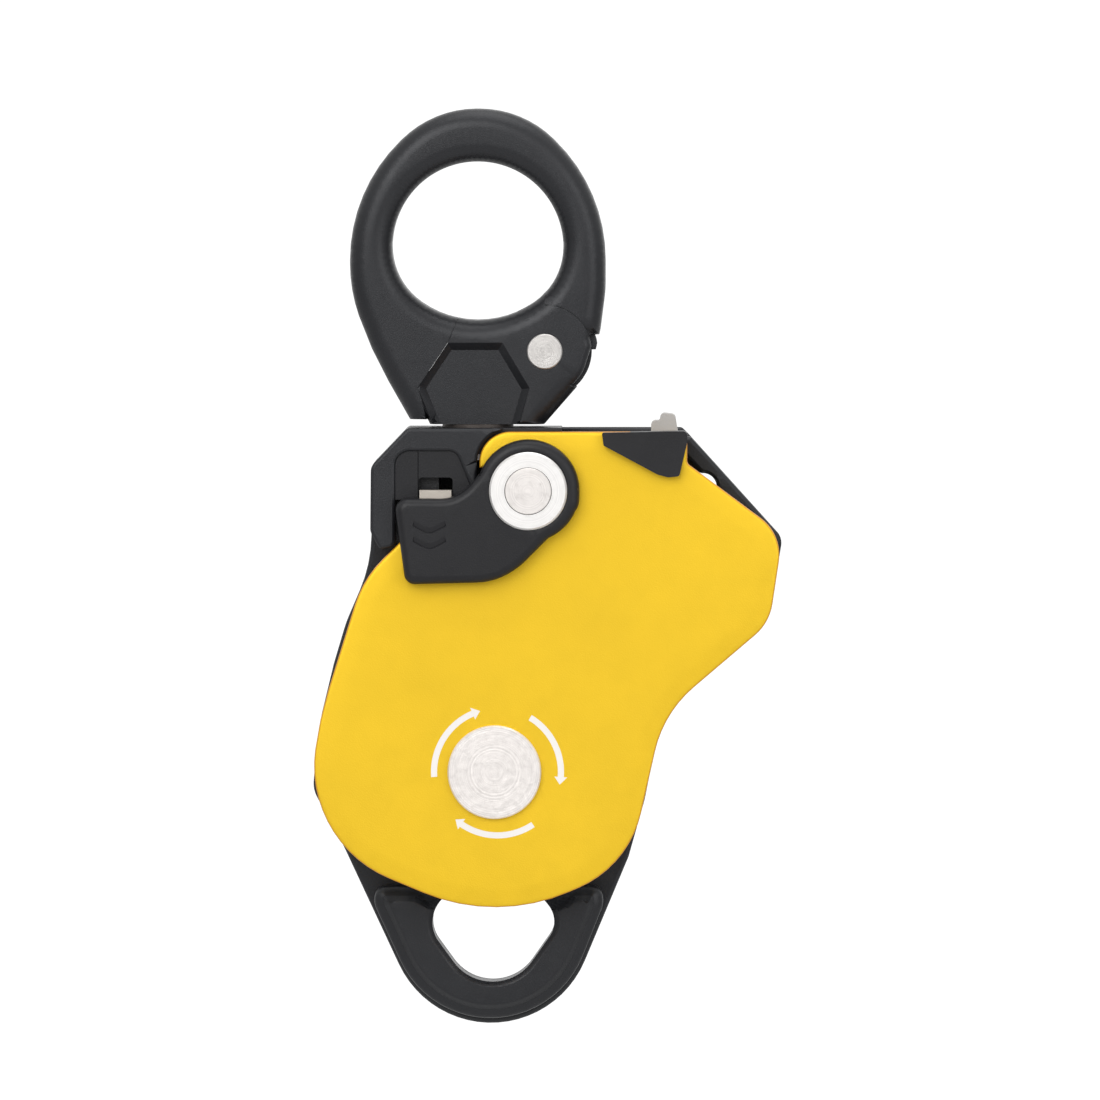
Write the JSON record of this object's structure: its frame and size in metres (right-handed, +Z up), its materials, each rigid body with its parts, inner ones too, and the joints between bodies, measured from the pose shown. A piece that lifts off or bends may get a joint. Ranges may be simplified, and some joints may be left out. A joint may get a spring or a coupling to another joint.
{
  "type": "rope pulley",
  "caption": "Progress-capture rope pulley with a gated swivel eye, ball-bearing sheave, toothed cam, opening side plate, press latch and lower ear.",
  "frame": {"origin": "centre of the swivel eye, on the swivel axis and on the middle plane of the sheave", "axes": "+Z up along the swivel axis, -Y towards the side with the opening plate and the latch, +X to the right seen from that side"},
  "size_m": [0.0846, 0.0288, 0.1654],
  "materials": {
    "black_anodised": "satin black anodised forged aluminium",
    "yellow_anodised": "fine-grained yellow anodised aluminium",
    "black_plastic": "fine-textured black moulded plastic",
    "grey_plastic": "grey moulded plastic",
    "stainless": "turned stainless steel",
    "bright_stainless": "fine turned stainless steel",
    "sheave_alloy": "turned aluminium",
    "bearing_steel": "ground bearing steel",
    "shield_rubber": "black seal rubber",
    "cam_steel": "cast stainless steel",
    "spring_steel": "drawn spring wire",
    "bronze": "plain bearing bronze"
  },
  "bodies": {
    "frame": {"fixed_frame": "black_anodised", "sheave_axle": "stainless", "axle_spacers": "stainless", "axle_end_washer": "stainless", "bearing_inner_race": "bearing_steel", "cam_axle": "stainless", "cam_collar": "bright_stainless", "cam_axle_end_washer": "stainless", "cam_spacers": "stainless", "cam_spring": "spring_steel", "latch_spring": "spring_steel", "latch_guide": "black_plastic", "latch_cover": "black_plastic", "upper_thrust_washer": "bronze"},
    "moving_side_plate": {"side_plate": "yellow_anodised", "corner_cap": "black_plastic"},
    "sheave_wheel": {"sheave": "sheave_alloy", "bearing_outer_race": "bearing_steel", "bearing_balls": "bearing_steel", "bearing_shields": "shield_rubber"},
    "cam_arm": {"cam": "cam_steel", "cam_bush": "bronze", "cam_finger_tab": "grey_plastic"},
    "latch": {"latch_lever": "black_plastic", "latch_tongue": "stainless"},
    "swivel": {"swivel_base": "black_anodised", "swivel_stud": "stainless", "swivel_nut": "stainless", "lower_thrust_washer": "bronze", "gate_bolt": "bright_stainless"},
    "eye_gate": {"swivel_gate": "black_anodised"}
  },
  "joints": [
    {"name": "swivel_spin", "type": "hinge", "parent": "frame", "child": "swivel", "pos_m": [0, 0, -0.0321], "axis": [0, 0, 1], "continuous": true},
    {"name": "gate_hinge", "type": "hinge", "parent": "swivel", "child": "eye_gate", "pos_m": [0.0121, 0, -0.0187], "axis": [0, 1, 0], "range_deg": [0, 35]},
    {"name": "side_plate_turn", "type": "hinge", "parent": "frame", "child": "moving_side_plate", "pos_m": [0.0031, -0.0095, -0.0941], "axis": [0, 1, 0], "range_deg": [0, 110]},
    {"name": "sheave_spin", "type": "hinge", "parent": "frame", "child": "sheave_wheel", "pos_m": [0.0031, 0, -0.0941], "axis": [0, 1, 0], "continuous": true},
    {"name": "cam_pivot", "type": "hinge", "parent": "frame", "child": "cam_arm", "pos_m": [0.0092, 0, -0.0435], "axis": [0, -1, 0], "range_deg": [0, 22], "stiffness_Nm_per_rad": 0.06, "springref_deg": -22.92, "deforming": ["cam_spring"]},
    {"name": "latch_press", "type": "hinge", "parent": "frame", "child": "latch", "pos_m": [0.0092, -0.013, -0.0435], "axis": [0, -1, 0], "range_deg": [0, 8], "stiffness_Nm_per_rad": 0.1, "springref_deg": -17.19, "deforming": ["latch_spring"]}
  ]
}
